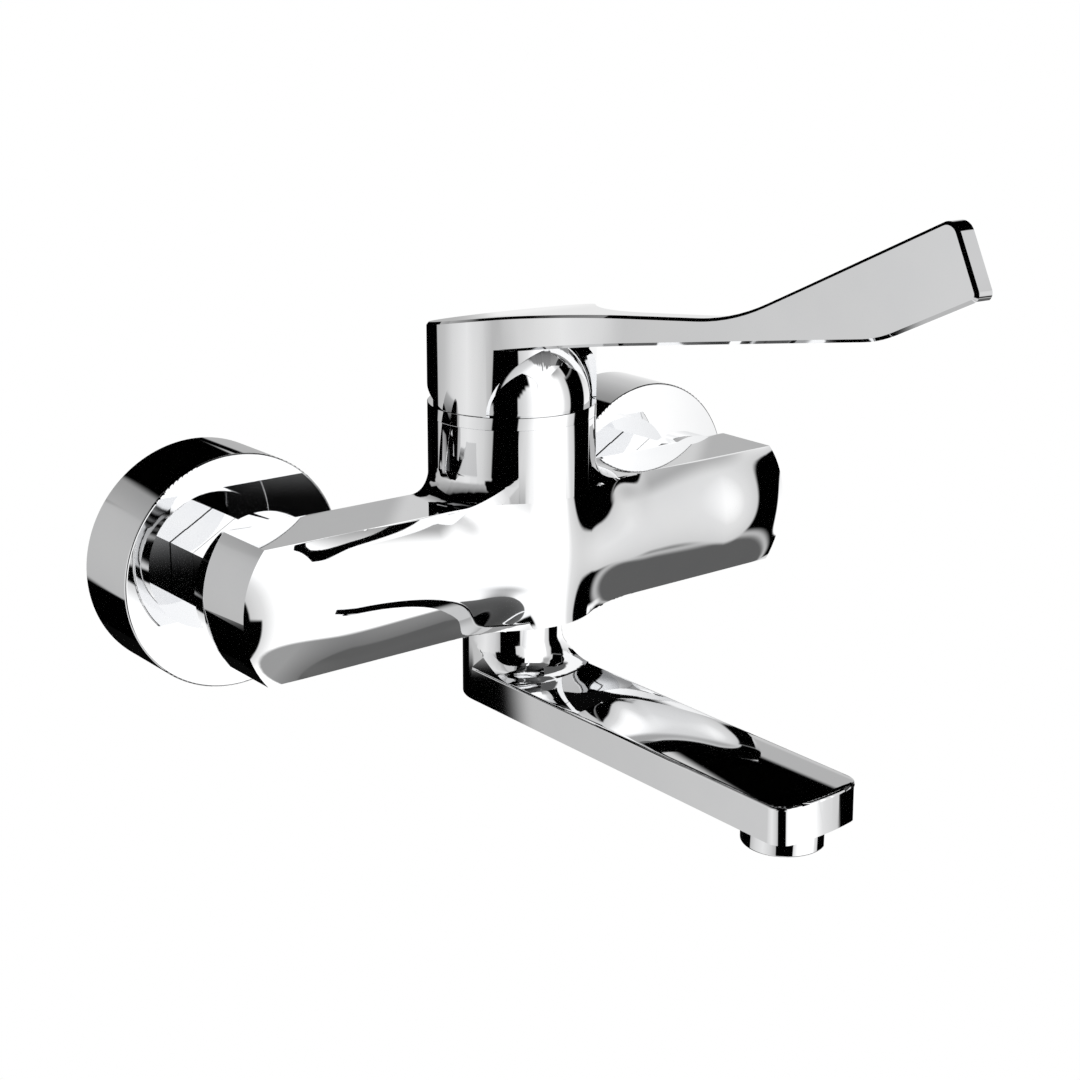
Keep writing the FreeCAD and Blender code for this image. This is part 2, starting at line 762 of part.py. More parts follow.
def spout_plan():
    corner_y = -(spout_reach - spout_bow)
    left = Vector(-spout_half_width, axis_y, spout_bottom)
    right = Vector(spout_half_width, axis_y, spout_bottom)
    far_left = Vector(-spout_half_width, corner_y, spout_bottom)
    far_right = Vector(spout_half_width, corner_y, spout_bottom)
    edges = [
        Part.Arc(right, Vector(0, axis_y + spout_half_width, spout_bottom), left).toShape(),
        Part.LineSegment(left, far_left).toShape(),
        Part.Arc(far_left, Vector(0, -spout_reach, spout_bottom), far_right).toShape(),
        Part.LineSegment(far_right, right).toShape(),
    ]
    return Part.Face(Part.Wire(edges))


def spout_root_fillet():
    """The concave ring between the boss and the arm, trimmed to the arm's width."""
    outer = spout_half_width + spout_fillet
    high = spout_top + spout_fillet
    middle = Vector(outer, axis_y, high) + Vector(-1, 0, -1) * (spout_fillet / math.sqrt(2))
    core = spout_half_width - 4
    edges = [
        Part.Arc(Vector(outer, axis_y, spout_top), middle, Vector(spout_half_width, axis_y, high)).toShape(),
        Part.LineSegment(Vector(spout_half_width, axis_y, high), Vector(core, axis_y, high)).toShape(),
        Part.LineSegment(Vector(core, axis_y, high), Vector(core, axis_y, spout_top)).toShape(),
        Part.LineSegment(Vector(core, axis_y, spout_top), Vector(outer, axis_y, spout_top)).toShape(),
    ]
    ring = revolve_z(Part.Face(Part.Wire(edges)))
    return ring.common(box(-spout_half_width, spout_half_width, axis_y - outer, axis_y, spout_top, high))


def spout():
    arm = spout_plan().extrude(Vector(0, 0, spout_top - spout_bottom))
    corners = edges_where(arm, lambda b: b.ZLength > 5 and b.YMax < -spout_reach + 5 and b.XLength < 0.1)
    arm = arm.makeFillet(spout_corner, corners)
    rim = edges_where(arm, lambda b: b.ZLength < 0.01 and b.ZMin > spout_top - 0.01 and b.YMin < axis_y - 1)
    arm = arm.makeFillet(spout_edge, rim)
    boss_top = -body_half_height - boss_gap
    shape = arm.fuse(tube_z(spout_half_width, spout_bottom, boss_top)).fuse(spout_root_fillet())
    # The spigot that turns in the body, with its grooves
    shape = shape.fuse(tube_z(spigot_radius, spout_bottom + 5, spigot_top))
    shape = shape.cut(bearing_seat(boss_top))
    for height in oring_heights:
        floor = spigot_radius - oring_groove_depth
        half = oring_radius + 2 * running_gap
        groove = section([(floor, height - half), (spigot_radius + 1, height - half),
                          (spigot_radius + 1, height + half), (floor, height + half)])
        shape = shape.cut(revolve_z(groove))
    shape = shape.cut(stop_slot())
    # Water way
    middle = (spout_top + spout_bottom) / 2
    shape = shape.cut(tube_z(spigot_bore, middle - channel_height / 2, spigot_top + 1))
    shape = shape.cut(box(-channel_width / 2, channel_width / 2, aerator_y, axis_y,
                          middle - channel_height / 2, middle + channel_height / 2))
    shape = shape.cut(tube_z(channel_width / 2, middle - channel_height / 2, middle + channel_height / 2,
                             0, aerator_y))
    return shape.cut(tube_z(aerator_thread_radius + assembly_gap, spout_bottom - 1, middle, 0, aerator_y))


def bearing_seat(boss_top):
    ring = tube_z(spout_half_width - 0.8, boss_top - bearing_height + boss_gap, boss_top + 1)
    return ring.cut(tube_z(spigot_radius, boss_top - 5, boss_top + 2))


def stop_slot():
    """The part-turn groove that the stop screw runs in."""
    depth = spigot_radius - stop_slot_depth
    low = stop_height - stop_slot_height / 2
    high = stop_height + stop_slot_height / 2
    tip_angle = math.degrees(math.asin((stop_screw_radius + 0.2) / depth))
    half_turn = spout_swing + tip_angle
    corners = [Vector(depth, axis_y, low), Vector(spigot_radius + 1, axis_y, low),
               Vector(spigot_radius + 1, axis_y, high), Vector(depth, axis_y, high)]
    face = Part.Face(Part.makePolygon(corners + corners[:1]))
    face.rotate(Vector(0, axis_y, 0), Z_AXIS, 90 - half_turn)
    return face.revolve(Vector(0, axis_y, 0), Z_AXIS, 2 * half_turn)


def spout_bearing_ring():
    boss_top = -body_half_height - boss_gap
    ring = tube_z(spout_half_width - 0.9, boss_top - bearing_height + boss_gap, boss_top + boss_gap - 0.05)
    return ring.cut(tube_z(spigot_radius + seal_squeeze, boss_top - 5, boss_top + 5))


def spout_o_rings():
    rings = []
    middle_radius = spigot_radius + running_gap - oring_radius
    for height in oring_heights:
        corner = oring_radius / math.cos(math.pi / 8)
        angles = [math.pi / 8 + math.pi / 4 * step for step in range(8)]
        points = [(middle_radius + corner * math.cos(a), height + corner * math.sin(a)) for a in angles]
        rings.append(revolve_z(section(points)))
    return Part.Compound(rings)


def spout_stop_screw():
    tip = column_distance - spigot_radius + stop_slot_depth - 0.3
    screw = tube_y(stop_screw_radius, column_distance - column_radius + 1.5, tip, 0, stop_height)
    return screw.cut(hexagon_y(2.5, 0, column_distance - column_radius + 4.0, 0, stop_height))


def aerator_housing():
    low = tube_z(aerator_radius, aerator_bottom, spout_bottom, 0, aerator_y)
    rim = edges_where(low, lambda b: b.ZMax < aerator_bottom + 0.01 and b.XLength > aerator_radius)
    low = low.makeFillet(0.5, rim)
    thread = tube_z(aerator_thread_radius, spout_bottom - 1, spout_bottom + aerator_thread_length, 0, aerator_y)
    shape = low.fuse(thread)
    shape = shape.cut(tube_z(aerator_insert_radius + assembly_gap, aerator_bottom + 1.2,
                             spout_bottom + aerator_thread_length + 1, 0, aerator_y))
    return shape.cut(tube_z(aerator_insert_radius - 0.8, aerator_bottom - 1, spout_bottom, 0, aerator_y))


def aerator_insert():
    low = aerator_bottom + 1.2
    high = spout_bottom + aerator_thread_length - 0.5
    shape = tube_z(aerator_insert_radius, low, high, 0, aerator_y)
    pitch = 2.3
    for row in range(-2, 3):
        for column in range(-2, 3):
            x = pitch * column
            y = aerator_y + pitch * row
            if math.hypot(x, y - aerator_y) < aerator_insert_radius - 2.2:
                shape = shape.cut(box(x - 0.8, x + 0.8, y - 0.8, y + 0.8, low - 1, high + 1))
    return shape


def aerator_seal():
    top = spout_bottom + aerator_thread_length
    low = top + seal_squeeze
    middle = (spout_top + spout_bottom) / 2
    high = min(low + aerator_seal_thickness, middle - seal_squeeze)
    ring = tube_z(aerator_thread_radius, low, high, 0, aerator_y)
    return ring.cut(tube_z(aerator_insert_radius - 1.5, low - 1, high + 1, 0, aerator_y))


save("mixer_body", body())
for side, x in (("left", -inlet_x), ("right", inlet_x)):
    save("wall_flange_" + side, wall_flange(x))
    save("wall_union_" + side, wall_union(x))
    save("union_nut_" + side, union_nut(x))
    save("inlet_tail_" + side, inlet_tail(x))
    save("inlet_seal_" + side, inlet_seal(x))
    save("inlet_strainer_" + side, inlet_strainer(x))
save("cartridge_base", cartridge_base())
save("cartridge_base_seals", cartridge_base_seals())
save("fixed_ceramic_disc", fixed_ceramic_disc())
save("moving_ceramic_disc", moving_ceramic_disc())
save("disc_driver", disc_driver())
save("cartridge_housing", cartridge_housing())
save("turning_sleeve", turning_sleeve())
save("pivot_pin", pivot_pin())
save("spindle", spindle())
save("cartridge_nut", cartridge_nut())
save("collar_ring", collar_ring())
save("dome_cover", dome_cover())
save("lever", lever())
save("lever_grub_screw", lever_grub_screw())
save("screw_cap", screw_cap())
save("spout", spout())
save("spout_bearing_ring", spout_bearing_ring())
save("spout_o_rings", spout_o_rings())
save("spout_stop_screw", spout_stop_screw())
save("aerator_housing", aerator_housing())
save("aerator_insert", aerator_insert())
save("aerator_seal", aerator_seal())
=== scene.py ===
# %% [markdown]
# A wall-mounted basin mixer, chrome all over, hung in an empty white studio.
# The shapes that fit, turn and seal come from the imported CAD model, which this script loads as a
# fixed frame. What is left to make here is the look: a polished skin that catches clean reflections, the
# finishes of the bare pieces behind and inside it, and the studio that the chrome mirrors.

# %% Load the frame and note its size
import bmesh
import bpy
import json
import math
from mathutils import Matrix, Vector


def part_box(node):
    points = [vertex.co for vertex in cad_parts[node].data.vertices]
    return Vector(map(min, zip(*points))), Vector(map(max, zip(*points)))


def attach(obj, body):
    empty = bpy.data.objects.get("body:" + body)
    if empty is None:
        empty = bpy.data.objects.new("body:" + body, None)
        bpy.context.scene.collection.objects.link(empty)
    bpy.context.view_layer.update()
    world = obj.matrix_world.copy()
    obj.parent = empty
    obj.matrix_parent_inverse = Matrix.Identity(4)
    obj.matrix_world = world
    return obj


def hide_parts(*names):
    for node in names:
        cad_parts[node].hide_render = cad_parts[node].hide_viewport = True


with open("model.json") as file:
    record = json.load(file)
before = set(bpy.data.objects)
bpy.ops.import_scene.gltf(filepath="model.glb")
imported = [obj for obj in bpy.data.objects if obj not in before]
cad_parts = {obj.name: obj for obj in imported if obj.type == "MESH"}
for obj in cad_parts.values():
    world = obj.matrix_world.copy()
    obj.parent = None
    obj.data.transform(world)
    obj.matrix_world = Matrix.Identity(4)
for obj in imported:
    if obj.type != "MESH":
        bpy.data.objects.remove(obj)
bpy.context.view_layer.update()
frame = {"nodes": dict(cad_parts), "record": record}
nodes = frame["nodes"]

# %% [markdown]
# Lengths are in metres here, and the frame gives most of them: the column's axis is where the collar
# ring is, the inlets are where the wall flanges are. Only what the frame can't say is written as a number.

# %% Places and sizes read from the frame
MM = 0.001


def middle(node):
    """The middle of a frame node's box."""
    low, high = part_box(node)
    return (low + high) / 2


def body_of(node):
    for name, members in frame["record"]["behaviour"]["bodies"].items():
        if node in members:
            return name


column_axis = middle("collar_ring")
column_radius = (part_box("collar_ring")[1].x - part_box("collar_ring")[0].x) / 2
inlets = {"left": middle("wall_flange_left"), "right": middle("wall_flange_right")}
print("column radius", round(column_radius / MM, 2), "mm, inlets",
      round((inlets["right"].x - inlets["left"].x) / MM, 1), "mm apart")

# %% [markdown]
# Shader maths reads best as plain arithmetic. This small class wraps a node's output, so that
# 1 - mask * 0.5 adds the Math nodes by itself. Anything that isn't arithmetic goes through one method
# that sets a node's options first and its inputs after.

# %% Shader maths as Python expressions


class Socket:
    """One output of a node in a material or world, which can be added, multiplied and so on."""

    def __init__(self, tree, output):
        self.tree = tree
        self.output = output

    def _maths(self, operation, *values):
        node = self.tree.nodes.new("ShaderNodeMath")
        node.operation = operation
        for place, value in enumerate(values):
            if isinstance(value, Socket):
                self.tree.links.new(value.output, node.inputs[place])
            else:
                node.inputs[place].default_value = value
        return Socket(self.tree, node.outputs[0])

    def __add__(self, other):
        return self._maths("ADD", self, other)

    def __radd__(self, other):
        return self._maths("ADD", other, self)

    def __sub__(self, other):
        return self._maths("SUBTRACT", self, other)

    def __rsub__(self, other):
        return self._maths("SUBTRACT", other, self)

    def __mul__(self, other):
        return self._maths("MULTIPLY", self, other)

    def __rmul__(self, other):
        return self._maths("MULTIPLY", other, self)

    def maximum(self, other):
        return self._maths("MAXIMUM", self, other)

    def arcsine(self):
        return self._maths("ARCSINE", self)

    def angle(self, other):
        """The angle, in radians, whose sine goes with this value and its cosine with the other."""
        return self._maths("ARCTAN2", self, other)

    @classmethod
    def constant(cls, tree, value):
        node = tree.nodes.new("ShaderNodeValue")
        node.outputs[0].default_value = value
        return cls(tree, node.outputs[0])

    def smooth(self, low, high):
        """0 below low, 1 above high, with a soft step between."""
        node = self.tree.nodes.new("ShaderNodeMapRange")
        node.interpolation_type = "SMOOTHSTEP"
        node.inputs["From Min"].default_value = low
        node.inputs["From Max"].default_value = high
        self.tree.links.new(self.output, node.inputs["Value"])
        return Socket(self.tree, node.outputs["Result"])


class Shader:
    """A node tree, with one method that makes any node in it."""

    def __init__(self, tree):
        self.tree = tree
        tree.nodes.clear()

    def node(self, kind, options=None, out=0, **values):
        node = self.tree.nodes.new(kind)
        for name, value in (options or {}).items():
            if name == "stops":
                while len(node.color_ramp.elements) < len(value):
                    node.color_ramp.elements.new(0.5)
                for element, (position, colour) in zip(node.color_ramp.elements, value):
                    element.position = position
                    element.color = colour
            else:
                setattr(node, name, value)
        for name, value in values.items():
            socket = node.inputs[name.replace("_", " ")]
            if isinstance(value, Socket):
                self.tree.links.new(value.output, socket)
            else:
                socket.default_value = value
        return Socket(self.tree, node.outputs[out])


def new_material(name):
    material = bpy.data.materials.new(name)
    material.use_nodes = True
    return material, Shader(material.node_tree)


def close_material(shader, principled):
    """Joins the surface to the material's output."""
    output = shader.tree.nodes.new("ShaderNodeOutputMaterial")
    shader.tree.links.new(principled.output, output.inputs["Surface"])


# %% [markdown]
# Chrome plate is a mirror with a faintly blue-grey tint. A real one isn't perfect: polishing leaves a
# haze that changes slowly over the part, so its roughness and tint wander a little. A bump in the normal
# would show more, but it bends the long reflections, which are straight on the real one.

# %% Chrome plate


def chrome_plate():
    material, shader = new_material("chrome_plate")
    place = shader.node("ShaderNodeTexCoord", out="Object")
    haze = shader.node("ShaderNodeTexNoise", {"noise_dimensions": "3D"}, Vector=place, Scale=55.0, Detail=3.0)
    grain = shader.node("ShaderNodeTexNoise", {"noise_dimensions": "3D"},
                        Vector=place, Scale=900.0, Detail=2.0)
    tint = shader.node("ShaderNodeValToRGB", {"stops": ((0.3, (0.90, 0.905, 0.915, 1)),
                                                        (0.7, (0.93, 0.932, 0.935, 1)))}, Fac=haze)
    rough = 0.012 + 0.02 * haze + 0.006 * grain
    surface = shader.node("ShaderNodeBsdfPrincipled", {}, Base_Color=tint, Metallic=1.0, Roughness=rough)
    close_material(shader, surface)
    return material


chrome = chrome_plate()

# %% [markdown]
# Inside and behind, the pieces are bare: turned brass with the fine rings of the lathe, steel screws,
# black rubber seals, pale lapped ceramic and grey moulded plastic. Each gets its own small material.

# %% Turned brass, steel, rubber, ceramic and plastic


def turned_brass():
    material, shader = new_material("turned_brass")
    place = shader.node("ShaderNodeTexCoord", out="Object")
    rings = shader.node("ShaderNodeTexWave", {"wave_type": "BANDS", "bands_direction": "Y"},
                        Vector=place, Scale=1500.0, Distortion=0.4)
    stain = shader.node("ShaderNodeTexNoise", {}, Vector=place, Scale=160.0, Detail=4.0)
    colour = shader.node("ShaderNodeValToRGB", {"stops": ((0.3, (0.55, 0.40, 0.17, 1)),
                                                          (0.75, (0.78, 0.60, 0.30, 1)))}, Fac=stain)
    bump = shader.node("ShaderNodeBump", {}, Strength=0.25, Distance=0.00004, Height=rings)
    surface = shader.node("ShaderNodeBsdfPrincipled", {}, Base_Color=colour, Metallic=1.0,
                          Roughness=0.22 + 0.2 * stain, Normal=bump)
    close_material(shader, surface)
    return material


def plain_steel():
    material, shader = new_material("plain_steel")
    place = shader.node("ShaderNodeTexCoord", out="Object")
    stain = shader.node("ShaderNodeTexNoise", {}, Vector=place, Scale=400.0, Detail=4.0)
    colour = shader.node("ShaderNodeValToRGB", {"stops": ((0.3, (0.50, 0.50, 0.51, 1)),
                                                          (0.75, (0.66, 0.66, 0.67, 1)))}, Fac=stain)
    surface = shader.node("ShaderNodeBsdfPrincipled", {}, Base_Color=colour, Metallic=1.0,
                          Roughness=0.25 + 0.15 * stain)
    close_material(shader, surface)
    return material


def moulded(name, dark, light, rough, grain_scale):
    """Rubber, ceramic and plastic: a slightly mottled colour with a fine moulded grain."""
    material, shader = new_material(name)
    place = shader.node("ShaderNodeTexCoord", out="Object")
    mottle = shader.node("ShaderNodeTexNoise", {}, Vector=place, Scale=grain_scale / 6, Detail=3.0)
    grain = shader.node("ShaderNodeTexNoise", {}, Vector=place, Scale=grain_scale, Detail=2.0)
    colour = shader.node("ShaderNodeValToRGB", {"stops": ((0.3, (*dark, 1)), (0.7, (*light, 1)))}, Fac=mottle)
    bump = shader.node("ShaderNodeBump", {}, Strength=0.3, Distance=0.00003, Height=grain)
    surface = shader.node("ShaderNodeBsdfPrincipled", {}, Base_Color=colour, Roughness=rough + 0.1 * grain,
                          Normal=bump)
    close_material(shader, surface)
    return material


finishes = {
    "chrome": chrome,
    "brass": turned_brass(),
    "steel": plain_steel(),
    "rubber": moulded("black_rubber", (0.012, 0.012, 0.012), (0.03, 0.03, 0.03), 0.55, 2500.0),
    "ceramic": moulded("lapped_ceramic", (0.80, 0.80, 0.77), (0.88, 0.88, 0.86), 0.12, 1200.0),
    "grey_plastic": moulded("grey_plastic", (0.27, 0.28, 0.30), (0.36, 0.37, 0.39), 0.42, 1800.0),
}
print("materials:", ", ".join(sorted(finishes)))

# %% [markdown]
# The frame's meshes are loose triangles, good for fits but faceted in a mirror. A mirror shows
# every facet, so each chrome piece gets a skin: a copy with its points merged, shaded smooth, and its
# real edges kept sharp. Weighted normals keep flat faces flat right up to their rounded edges.

# %% Polished skins over the chrome pieces
SHARP_ANGLE = math.radians(28)
MERGE_DISTANCE = 0.000002


def polished_skin(node):
    """A smooth chrome copy of a frame node, which takes its place."""
    mesh = nodes[node].data.copy()
    mesh.name = node + "_skin"
    work = bmesh.new()
    work.from_mesh(mesh)
    bmesh.ops.remove_doubles(work, verts=work.verts, dist=MERGE_DISTANCE)
    for face in work.faces:
        face.smooth = True
    for edge in work.edges:
        edge.smooth = edge.is_manifold and edge.calc_face_angle(math.pi) < SHARP_ANGLE
    work.to_mesh(mesh)
    work.free()
    mesh.materials.clear()
    mesh.materials.append(chrome)
    skin = bpy.data.objects.new(node + "_skin", mesh)
    bpy.context.scene.collection.objects.link(skin)
    weighted = skin.modifiers.new("flat_faces_stay_flat", "WEIGHTED_NORMAL")
    weighted.mode = "FACE_AREA"
    weighted.weight = 100
    weighted.keep_sharp = True
    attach(skin, body_of(node))
    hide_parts(node)
    return skin


# %% [markdown]
# The body's cushioned front is the part of the mixer that shows most of the studio, and the frame's
# triangles are too coarse for it. Here it is one smooth surface with a formula: it stands at edge_line
# along the bar's long edges, where the column's circle runs out into the straight bar, and at middle_line
# half-way up. The skin is cut into a fine grid there, each point inside it is put on the surface, and
# each corner gets the surface's own normal. The grid's border stays where it is, as a kept edge, so the
# faces around it keep their shape and shading. A subdivision would round them too.

# %% The body's cushioned front
# All in mm
HALF_HEIGHT = 18.4
END_RADIUS = 28.7
HALF_LENGTH = 96.0
BAR_FRONT = 63.4
BULGE = 5.7
CREST = 3.2
CREST_REACH = 66.0
END_ROUNDING = 28.0
BLEND_START = 10.5
SOFT_START = 14.0
SOFT_END = 34.0
SOFT_CREASE = 1.5
FACING_FRONT = -0.35
FRONT_REACH = 3.0
NEAR_COLUMN = 45.0
END_REACH = 1.0
GRID_STEP = 1.5
SLOPE_STEP = 0.05
ON_PLANE = 1e-7


def eased(value, start, end):
    """0 below start, 1 above end, with level ends and no jump in curvature between."""
    t = min(max((value - start) / (end - start), 0.0), 1.0)
    return t ** 3 * (10 - 15 * t + 6 * t ** 2)


def edge_line(x):
    """How far the front stands from the wall along the bar's long edges, in mm."""
    x = abs(x)
    radius = column_radius / MM
    centre = -column_axis.y / MM
    rise = math.sqrt(radius ** 2 - BLEND_START ** 2)
    if x <= BLEND_START:
        return centre + math.sqrt(radius ** 2 - x ** 2)
    drop = centre + rise - BAR_FRONT
    span = 2 * drop * rise / BLEND_START
    return BAR_FRONT + drop * max(1 - (x - BLEND_START) / span, 0.0) ** 2


def middle_line(x):
    share = min(abs(x) / CREST_REACH, 1.0)
    return BAR_FRONT + BULGE + CREST * (1 - share ** 2) ** 2


def front_distance(x, z):
    """How far the body's front stands from the wall, in mm."""
    height = min((z / HALF_HEIGHT) ** 2, 1.0)
    fullness = (1 - height) ** (1.5 - 0.5 * eased(abs(x), SOFT_START, SOFT_END))
    end_z = min(abs(z), HALF_HEIGHT)
    end_x = HALF_LENGTH - END_RADIUS + math.sqrt(END_RADIUS ** 2 - end_z ** 2)
    rounding = 1 - max(1 - (end_x - abs(x)) / END_ROUNDING, 0.0) ** 3
    rise = middle_line(x) - edge_line(x)
    return edge_line(x) + fullness * rounding * (rise + math.hypot(rise, SOFT_CREASE)) / 2


def front_normal(point):
    x = point.x / MM
    z = point.z / MM
    step = SLOPE_STEP
    lean_x = (front_distance(x + step, z) - front_distance(x - step, z)) / (2 * step)
    lean_z = (front_distance(x, z + step) - front_distance(x, z - step)) / (2 * step)
    return Vector((-lean_x, -1, -lean_z)).normalized()


def is_front(face):
    """1 for the skin's faces close to the front, between the bar's long edges."""
    centre = face.calc_center_median()
    gap = abs(centre.y / MM + front_distance(centre.x / MM, centre.z / MM))
    reach = FRONT_REACH if abs(centre.x / MM) < NEAR_COLUMN else END_REACH
    return int(face.normal.y < FACING_FRONT and gap < reach and abs(centre.z / MM) < HALF_HEIGHT)


def cut_grid(work, layer, axis, step):
    """Cuts the marked faces with planes that stand a step apart along an axis."""
    normal = Vector((0, 0, 0))
    normal[axis] = 1
    marked = [v.co[axis] for f in work.faces if f[layer] for v in f.verts]
    for number in range(math.floor(min(marked) / step) + 1, math.ceil(max(marked) / step)):
        place = number * step
        faces = [f for f in work.faces if f[layer] and min(v.co[axis] for v in f.verts) < place - ON_PLANE
                 and max(v.co[axis] for v in f.verts) > place + ON_PLANE]
        around = {e for f in faces for e in f.edges} | {v for f in faces for v in f.verts}
        bmesh.ops.bisect_plane(work, geom=faces + list(around), dist=ON_PLANE,
                               plane_co=normal * place, plane_no=normal)


def refine(skin, name, chosen, steps, put, normal_at):
    """Cuts the chosen faces into a grid, puts its points on a surface and gives them its normals.

    chosen gives 1 for the faces on the surface, 2 for neighbours that are only cut along, 0 for others.
    """
    work = bmesh.new()
    work.from_mesh(skin.data)
    bmesh.ops.bisect_plane(work, geom=work.faces[:] + work.edges[:] + work.verts[:], dist=ON_PLANE,
                           plane_co=(0, 0, HALF_HEIGHT * MM), plane_no=(0, 0, 1))
    work.normal_update()
    layer = work.faces.layers.int.new(name)
    for face in work.faces:
        face[layer] = chosen(face)
    for axis, step in steps:
        cut_grid(work, layer, axis, step * MM)
    for vertex in work.verts:
        if vertex.link_faces and all(face[layer] == 1 for face in vertex.link_faces):
            vertex.co = put(vertex.co)
    for edge in work.edges:
        if len({min(face[layer], 1) for face in edge.link_faces}) == 2:
            edge.smooth = False
    work.to_mesh(skin.data)
    work.free()
    evaluated = skin.evaluated_get(bpy.context.evaluated_depsgraph_get())
    normals = [corner.vector.copy() for corner in evaluated.data.corner_normals]
    marks = skin.data.attributes[name].data
    for polygon in skin.data.polygons:
        if marks[polygon.index].value == 1:
            for corner in polygon.loop_indices:
                normals[corner] = normal_at(skin.data.vertices[skin.data.loops[corner].vertex_index].co)
    skin.modifiers.clear()
    skin.data.normals_split_custom_set(normals)
    print(name, sum(mark.value == 1 for mark in marks), "faces")


def put_on_front(point):
    return Vector((point.x, -front_distance(point.x / MM, point.z / MM) * MM, point.z))


# %% [markdown]
# The spout's top looks flat but is crowned: across its width it rises by about a millimetre, which
# spreads its reflection from black on the left to white along the right edge. The crown could be modelled
# from a new block, but the skin's own top, cut into a grid and raised, keeps the real outline and edges.

# %% The spout's crowned top
# All in mm
SPOUT_TOP = -34.8
SPOUT_HALF = 13.7
CROWN = 1.0
ROOT_RING = 23.0
ROOT_FADE = 50.0
LEVEL = 0.03
TIP_EDGE = 0.9
TIP_START = -165
GRID_ACROSS = 1.2
GRID_ALONG = 4.0


def crown_height(x, y):
    """How much the spout's top rises above its edges, in mm."""
    from_axis = math.hypot(x, y - column_axis.y / MM)
    return CROWN * max(1 - (x / SPOUT_HALF) ** 2, 0.0) * eased(from_axis, ROOT_RING, ROOT_FADE)


def crown_normal(point):
    x = point.x / MM
    y = point.y / MM
    step = SLOPE_STEP
    lean_x = (crown_height(x + step, y) - crown_height(x - step, y)) / (2 * step)
    lean_y = (crown_height(x, y + step) - crown_height(x, y - step)) / (2 * step)
    return Vector((-lean_x, -lean_y, 1)).normalized()


def is_spout_top(face):
    """1 for the flat top, 2 for the rounded edge at its tip."""
    if all(abs(v.co.z / MM - SPOUT_TOP) < LEVEL for v in face.verts) and face.normal.z > 0.99:
        return 1
    at_tip = all(v.co.z / MM > SPOUT_TOP - TIP_EDGE and v.co.y / MM < TIP_START for v in face.verts)
    return 2 if at_tip and face.normal.y < -0.05 else 0


def put_on_crown(point):
    return point + Vector((0, 0, crown_height(point.x / MM, point.y / MM) * MM))


chrome_nodes = [part["node"] for part in frame["record"]["subparts"] if part["material_slot"] == "chrome"]
skins = {node: polished_skin(node) for node in chrome_nodes}
refine(skins["mixer_body"], "front", is_front, ((0, GRID_STEP), (2, GRID_STEP)), put_on_front, front_normal)
refine(skins["spout"], "crown", is_spout_top, ((0, GRID_ACROSS), (1, GRID_ALONG)), put_on_crown, crown_normal)
print("skins:", len(skins))

# %% [markdown]
# Every other piece keeps its frame mesh and only gets its finish. Seals, screws, strainers and the
# cartridge are mostly hidden and none of them is a mirror, so the frame's own triangles do for them. A
# skin would be one more mesh for each, with nothing to show for it.

# %% Finishes on the pieces that keep their frame mesh
for part in frame["record"]["subparts"]:
    node = part["node"]
    if node in skins:
        continue
    data = nodes[node].data
    data.materials.clear()
    data.materials.append(finishes[part["material_slot"]])
print("frame meshes kept:", len(nodes) - len(skins))

# %% [markdown]
# The photograph's camera stands to the left of the mixer and a little above it, quite close, so the
# lever's paddle comes towards it. Its place, turn and lens were solved from the two flanges and the bar.

# %% Camera
CAMERA_AZIMUTH = math.radians(-41.67)
CAMERA_HEIGHT_ANGLE = math.radians(13.65)
CAMERA_ROLL = math.radians(1.01)
CAMERA_PLACE = Vector((-319.17, -469.03, 160.82)) * MM
SENSOR_WIDTH = 36.0
LENS = 63.18
SHIFT_X = -0.1075
SHIFT_Y = -0.0975


def make_camera():
    data = bpy.data.cameras.new("camera")
    data.sensor_fit = "HORIZONTAL"
    data.sensor_width = SENSOR_WIDTH
    data.lens = LENS
    data.shift_x = SHIFT_X
    data.shift_y = SHIFT_Y
    data.clip_start = 0.01
    data.clip_end = 50
    camera = bpy.data.objects.new("camera", data)
    back = Vector((math.sin(CAMERA_AZIMUTH) * math.cos(CAMERA_HEIGHT_ANGLE),
                   -math.cos(CAMERA_AZIMUTH) * math.cos(CAMERA_HEIGHT_ANGLE),
                   math.sin(CAMERA_HEIGHT_ANGLE)))
    right = Vector((0, 0, 1)).cross(back).normalized()
    up = back.cross(right)
    turn = Matrix((right, up, back)).transposed() @ Matrix.Rotation(CAMERA_ROLL, 3, "Z")
    camera.matrix_world = Matrix.Translation(CAMERA_PLACE) @ turn.to_4x4()
    bpy.context.scene.collection.objects.link(camera)
    bpy.context.scene.camera = camera


make_camera()
print("camera at", [round(v / MM) for v in CAMERA_PLACE], "mm, lens", LENS, "mm")

# %% [markdown]
# Chrome has no colour of its own: it shows the studio. So the studio is painted as a sky, in degrees
# of azimuth (0 faces the front of the mixer, positive to its right) and height. The camera and plain
# light see it white. Mirror rays see the softbox in front, the black flags at both sides of it, the grey
# screens to the left and right, and the dark behind and above. Later strokes cover earlier ones.

# %% The studio
PLATE_BRIGHTNESS = 0.92


def grey(shown):
    """The strength of light that the plate shows as this grey (0 to 1) on a screen."""
    linear = shown / 12.92 if shown < 0.04 else ((shown + 0.055) / 1.055) ** 2.4
    return linear / PLATE_BRIGHTNESS


